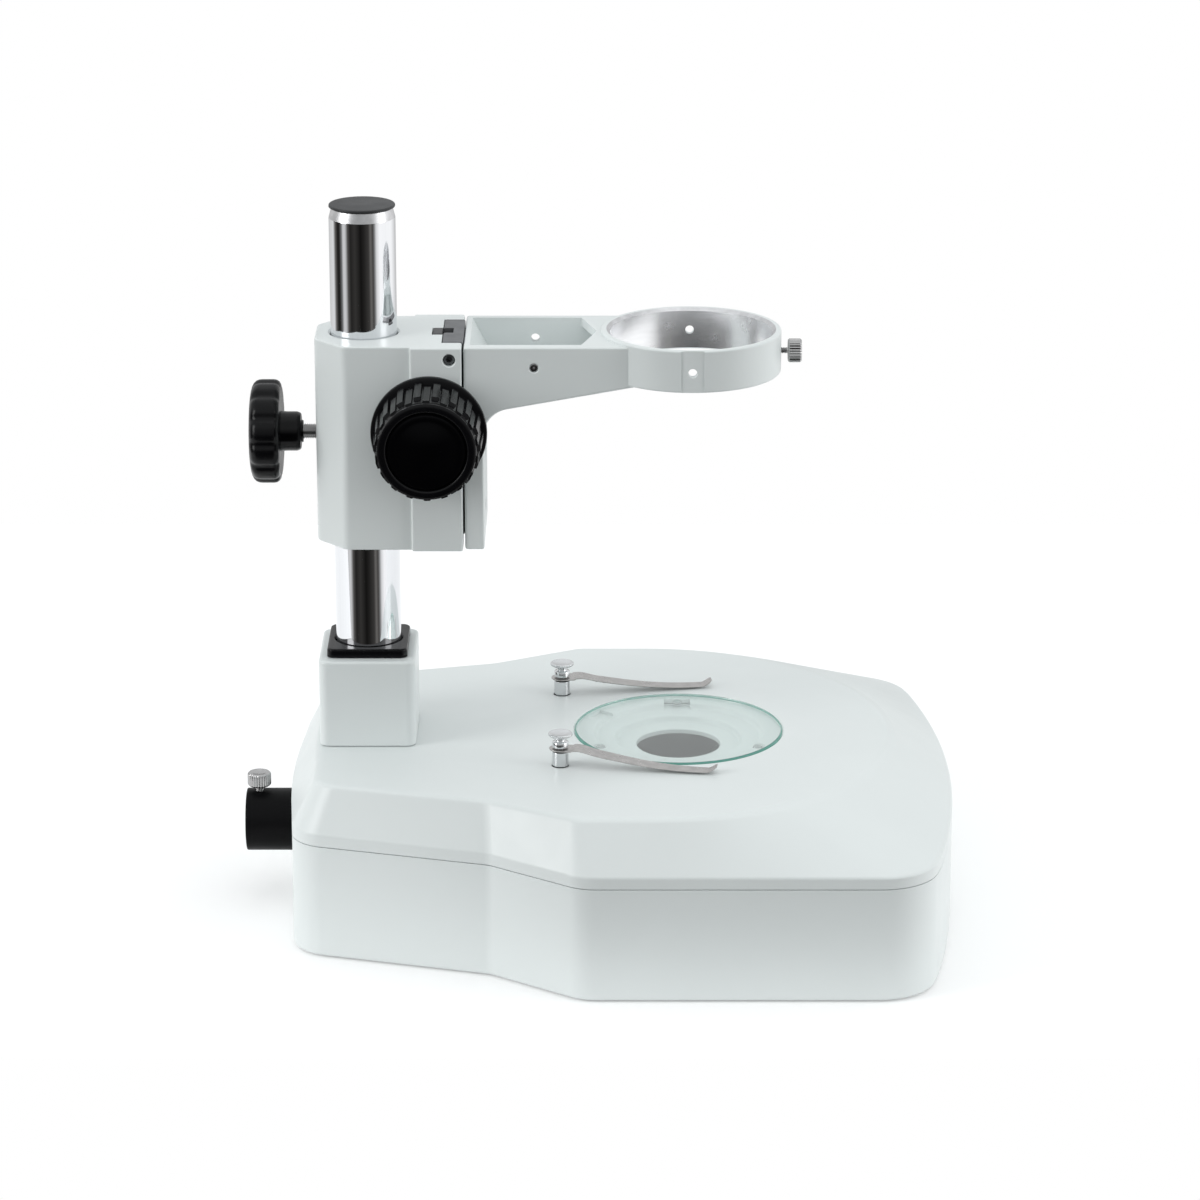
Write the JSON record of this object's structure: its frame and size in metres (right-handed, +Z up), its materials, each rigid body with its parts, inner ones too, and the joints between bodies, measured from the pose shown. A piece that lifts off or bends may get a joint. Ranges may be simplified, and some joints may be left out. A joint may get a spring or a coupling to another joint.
{
  "type": "stereo microscope pillar stand",
  "caption": "White pillar stand for a stereo microscope: chrome pole, rack-and-pinion focus mount, arm with head ring, and a transmitted-light base with a round glass stage and stage clips.",
  "frame": {"origin": "on the floor, under the middle of the bounding box", "axes": "+Z up along the pole; +X towards the user, from the pole to the front of the base; +Y along the focus shaft, towards the right hand of the user, who faces -X"},
  "size_m": [0.3378, 0.2796, 0.3402],
  "materials": {
    "white_enamel": "satin white enamel over cast aluminium",
    "chrome": "polished",
    "nickel": "satin nickel plate",
    "dark_steel": "ground and blackened",
    "zinc_steel": "zinc plate",
    "black_plastic": "satin moulding",
    "gloss_black": "gloss",
    "black_rubber": "matte",
    "stage_glass": "polished",
    "mirror": "polished",
    "brass": "turned"
  },
  "bodies": {
    "base": {"lower_housing": "white_enamel", "top_cover": "white_enamel", "bottom_plate": "zinc_steel", "foot_front_left": "black_rubber", "foot_front_right": "black_rubber", "foot_rear_left": "black_rubber", "foot_rear_right": "black_rubber", "foot_screw_front_left": "zinc_steel", "foot_screw_front_right": "zinc_steel", "foot_screw_rear_left": "zinc_steel", "foot_screw_rear_right": "zinc_steel", "stage_insert": "white_enamel", "insert_screw_1": "nickel", "insert_screw_2": "nickel", "insert_screw_3": "nickel", "mirror": "mirror", "mirror_bracket": "zinc_steel", "light_guide_tube": "black_plastic", "tube_nut": "zinc_steel", "clip_post_left": "nickel", "clip_post_right": "nickel", "clip_washer_left": "black_plastic", "clip_washer_right": "black_plastic", "pillar_socket": "white_enamel", "socket_collar": "black_plastic", "socket_bolt_1": "zinc_steel", "socket_bolt_2": "zinc_steel"},
    "stage_glass": {"stage_glass": "stage_glass"},
    "stage_clip_left": {"stage_clip_left": "nickel"},
    "stage_clip_right": {"stage_clip_right": "nickel"},
    "clip_knob_left": {"clip_knob_left": "nickel"},
    "clip_knob_right": {"clip_knob_right": "nickel"},
    "guide_screw_feed": {"guide_screw_pin": "nickel"},
    "guide_screw_turn": {"guide_screw_head": "nickel"},
    "pillar": {"pole": "chrome", "pole_cap": "black_plastic", "pole_bolt": "zinc_steel"},
    "focus_mount": {"focus_body": "white_enamel", "shaft_bush_left": "brass", "shaft_bush_right": "brass", "gib_screw": "dark_steel", "clamp_pad": "brass"},
    "clamp_feed": {"clamp_stud": "zinc_steel"},
    "clamp_turn": {"clamp_knob": "black_plastic"},
    "focus_drive": {"focus_shaft": "zinc_steel", "pinion": "dark_steel", "focus_knob_left": "black_plastic", "focus_knob_right": "black_plastic", "knob_cap_left": "gloss_black", "knob_cap_right": "gloss_black"},
    "carriage": {"arm": "white_enamel", "arm_grub_screw": "nickel", "slide_rail": "dark_steel", "rack": "dark_steel", "travel_stop": "dark_steel", "rail_screw_1": "dark_steel", "rail_screw_2": "dark_steel"},
    "ring_screw_feed": {"ring_screw_pin": "nickel"},
    "ring_screw_turn": {"ring_screw_head": "nickel"}
  },
  "joints": [
    {"name": "glass_lift", "type": "slide", "parent": "base", "child": "stage_glass", "axis": [0, 0, 1], "range_m": [0, 0.03]},
    {"name": "clip_left_swing", "type": "hinge", "parent": "base", "child": "stage_clip_left", "pos_m": [-0.0175, -0.0508, 0.0827], "axis": [0, 0, -1], "range_deg": [-40, 60]},
    {"name": "clip_right_swing", "type": "hinge", "parent": "base", "child": "stage_clip_right", "pos_m": [-0.0175, 0.0508, 0.0827], "axis": [0, 0, 1], "range_deg": [-40, 60]},
    {"name": "clip_knob_left_turn", "type": "hinge", "parent": "base", "child": "clip_knob_left", "pos_m": [-0.0175, -0.0508, 0.0955], "axis": [0, 0, 1], "range_deg": [-180, 180]},
    {"name": "clip_knob_right_turn", "type": "hinge", "parent": "base", "child": "clip_knob_right", "pos_m": [-0.0175, 0.0508, 0.0955], "axis": [0, 0, 1], "range_deg": [-180, 180]},
    {"name": "guide_screw_travel", "type": "slide", "parent": "base", "child": "guide_screw_feed", "axis": [0, 0, 1], "range_m": [0, 0.0014]},
    {"name": "guide_screw_turn", "type": "hinge", "parent": "guide_screw_feed", "child": "guide_screw_turn", "pos_m": [-0.1627, 0, 0.0574], "axis": [0, 0, 1], "range_deg": [0, 721]},
    {"name": "pillar_swivel", "type": "hinge", "parent": "base", "child": "pillar", "pos_m": [-0.1089, 0, 0.09], "axis": [0, 0, 1], "continuous": true},
    {"name": "mount_height", "type": "slide", "parent": "pillar", "child": "focus_mount", "axis": [0, 0, 1], "range_m": [-0.048, 0.055]},
    {"name": "clamp_travel", "type": "slide", "parent": "focus_mount", "child": "clamp_feed", "axis": [-1, 0, 0], "range_m": [0, 0.002]},
    {"name": "clamp_turn", "type": "hinge", "parent": "clamp_feed", "child": "clamp_turn", "pos_m": [-0.15, 0, 0.2309], "axis": [-1, 0, 0], "range_deg": [0, 721]},
    {"name": "carriage_focus", "type": "slide", "parent": "focus_mount", "child": "carriage", "axis": [0, 0, 1], "range_m": [-0.022, 0.022]},
    {"name": "focus_turn", "type": "hinge", "parent": "focus_mount", "child": "focus_drive", "pos_m": [-0.0778, 0, 0.2404], "axis": [0, -1, 0], "range_deg": [-211, 211]},
    {"name": "ring_screw_travel", "type": "slide", "parent": "carriage", "child": "ring_screw_feed", "axis": [1, 0, 0], "range_m": [0, 0.0021]},
    {"name": "ring_screw_turn", "type": "hinge", "parent": "ring_screw_feed", "child": "ring_screw_turn", "pos_m": [0.09, 0, 0.27], "axis": [1, 0, 0], "range_deg": [0, 1082]}
  ],
  "couplings": [
    {"joint": "focus_turn", "follows": "carriage_focus", "rad_per_m": 166.67},
    {"joint": "guide_screw_turn", "follows": "guide_screw_travel", "rad_per_m": 8976},
    {"joint": "clamp_turn", "follows": "clamp_travel", "rad_per_m": 6283.2},
    {"joint": "ring_screw_turn", "follows": "ring_screw_travel", "rad_per_m": 8976}
  ]
}
